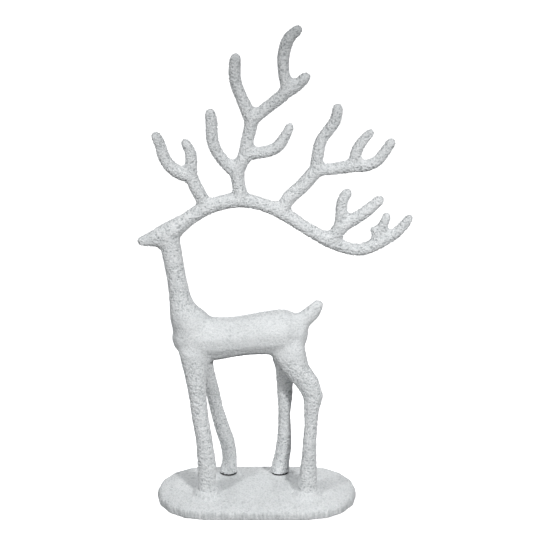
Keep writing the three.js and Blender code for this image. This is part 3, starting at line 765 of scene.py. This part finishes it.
def board_material(name):
    """Solder mask over copper traces, with the weave of the glass cloth under it."""
    m = Nodes(name)
    traces = m.add("ShaderNodeTexBrick", offset=0.3)
    traces.inputs["Scale"].default_value = 260
    traces.inputs["Mortar Size"].default_value = 0.09
    m.link(m.place, traces.inputs["Vector"])
    weave = m.noise(0.0009, detail=2.0)
    level = m.weigh((traces.outputs["Fac"], 0.45), (weave, 0.5))
    colour = m.ramp(level, (0.1, (0.012, 0.085, 0.035)), (0.5, (0.025, 0.15, 0.06)),
                    (0.75, (0.10, 0.26, 0.10)))
    return m.finish(colour, m.spread(weave, 0.35, 0.5), m.bump(traces.outputs["Fac"], 0.00004),
                    {"Coat Weight": 0.4})


def strand_material(name):
    """Clear-white cable and lens plastic with faint bubbles and a milky cast."""
    m = Nodes(name)
    bubbles, haze = m.cells(0.0018), m.noise(0.01)
    colour = m.ramp(haze, (NOISE_LOW, (0.72, 0.71, 0.64)), (NOISE_HIGH, (0.90, 0.89, 0.83)))
    return m.finish(colour, m.spread(haze, 0.15, 0.35), m.bump(bubbles, 0.00005),
                    {"Subsurface Weight": 0.2, "Coat Weight": 0.3})


def make_materials():
    """One material for each slot of the record."""
    return {
        "snow_coat": snow_material("snow_coat"),
        "grey_plastic": moulded_material("grey_plastic", (0.44, 0.455, 0.47), (0.56, 0.575, 0.59)),
        "black_plastic": moulded_material("black_plastic", (0.018, 0.019, 0.021), (0.036, 0.037, 0.04)),
        "black_rubber": moulded_material("black_rubber", (0.010, 0.010, 0.011), (0.030, 0.030, 0.031),
                                         grain=0.0012, roughness=(0.75, 0.95), depth=0.00012),
        "zinc_steel": metal_material("zinc_steel", (0.36, 0.37, 0.39), (0.60, 0.61, 0.63), (1, 1, 0.05)),
        "nickel": metal_material("nickel", (0.55, 0.53, 0.49), (0.76, 0.74, 0.70), (1, 0.05, 1),
                                 roughness=(0.15, 0.3)),
        "cell_wrap": cell_material("cell_wrap"),
        "circuit_board": board_material("circuit_board"),
        "light_strand": strand_material("light_strand"),
    }


def set_material(obj, material):
    obj.data.materials.clear()
    obj.data.materials.append(material)
    for polygon in obj.data.polygons:
        polygon.material_index = 0


# ---------------------------------------------------------------- camera, light and floor

def look_from(obj, place, target):
    obj.location = place
    obj.rotation_euler = (Vector(target) - Vector(place)).to_track_quat("-Z", "Y").to_euler()


def make_camera():
    data = bpy.data.cameras.new("camera")
    data.sensor_width = SENSOR_MM
    data.lens = LENS_MM
    camera = bpy.data.objects.new("camera", data)
    scene.collection.objects.link(camera)
    look_from(camera, CAMERA_PLACE, CAMERA_AIM)
    scene.camera = camera


def make_lights():
    """Two soft spot lamps in front of the object, aimed low on it, and a low one behind it."""
    target = Vector((0, 0, LAMP_AIM * CAD_BOX[1].z))
    for name, sideways, rise, power in LAMPS:
        across, up = math.radians(sideways), math.radians(rise)
        way = Vector((math.sin(across) * math.cos(up), -math.cos(across) * math.cos(up), math.sin(up)))
        data = bpy.data.lights.new(name, "SPOT")
        data.energy = power
        data.shadow_soft_size = LAMP_RADIUS
        data.spot_size = math.radians(LAMP_CONE)
        data.spot_blend = 1
        lamp = bpy.data.objects.new(name, data)
        lamp.visible_camera = False
        scene.collection.objects.link(lamp)
        look_from(lamp, target + way * LAMP_DISTANCE, target)


def make_world():
    """A soft grey sky over a dim ground, so that undersides stay shaded."""
    world = bpy.data.worlds.new("studio")
    world.use_nodes = True
    tree = world.node_tree
    place = tree.nodes.new("ShaderNodeTexCoord")
    axes = tree.nodes.new("ShaderNodeSeparateXYZ")
    ramp = tree.nodes.new("ShaderNodeValToRGB")
    low, high = ramp.color_ramp.elements
    low.position, low.color = 0, (*GROUND_TONE, 1)
    high.position, high.color = SKY_FULL, (*SKY_TONE, 1)
    lift = tree.nodes.new("ShaderNodeMath")
    lift.inputs[1].default_value = SKY_LIFT
    tree.links.new(place.outputs["Generated"], axes.inputs[0])
    tree.links.new(axes.outputs["Z"], lift.inputs[0])
    tree.links.new(lift.outputs[0], ramp.inputs["Fac"])
    tree.links.new(ramp.outputs["Color"], tree.nodes["Background"].inputs["Color"])
    scene.world = world


def make_floor():
    """A wide pale sheet under the feet that turns up into a wall far away. It throws no light back."""
    bm = bmesh.new()
    rings = rings_of(bm, Vector(), SHEET, SHEET_SIDES)
    bm.faces.new(rings[0])
    for low, high in zip(rings, rings[1:]):
        for i in range(SHEET_SIDES):
            j = (i + 1) % SHEET_SIDES
            bm.faces.new((low[j], low[i], high[i], high[j]))
    floor = object_from("floor", bm)
    floor.data.shade_smooth()
    m = Nodes("floor")
    drift = m.noise(0.8)
    colour = m.ramp(drift, (NOISE_LOW, (0.90, 0.905, 0.91)), (NOISE_HIGH, (0.93, 0.935, 0.94)))
    m.finish(colour, m.spread(drift, 0.95, 0.9), m.bump(drift, 0.0001),
             {"Emission Color": (1, 1, 1, 1), "Emission Strength": 1.0})
    set_material(floor, m.material)
    floor.visible_diffuse = False


# ---------------------------------------------------------------- the whole scene

make_camera()
deer_coat, antler_coat = make_figure()
make_deer_coat(deer_coat)
make_antler_coat(antler_coat)
base_coat = make_base_coat()

materials = make_materials()
for coat in (deer_coat, antler_coat, base_coat):
    set_material(coat, materials["snow_coat"])
    coat.data.shade_smooth()
for subpart in frame["record"]["subparts"]:
    set_material(frame["nodes"][subpart["node"]], materials[subpart["material_slot"]])

make_lights()
make_world()
make_floor()
scene.view_settings.view_transform = "Standard"
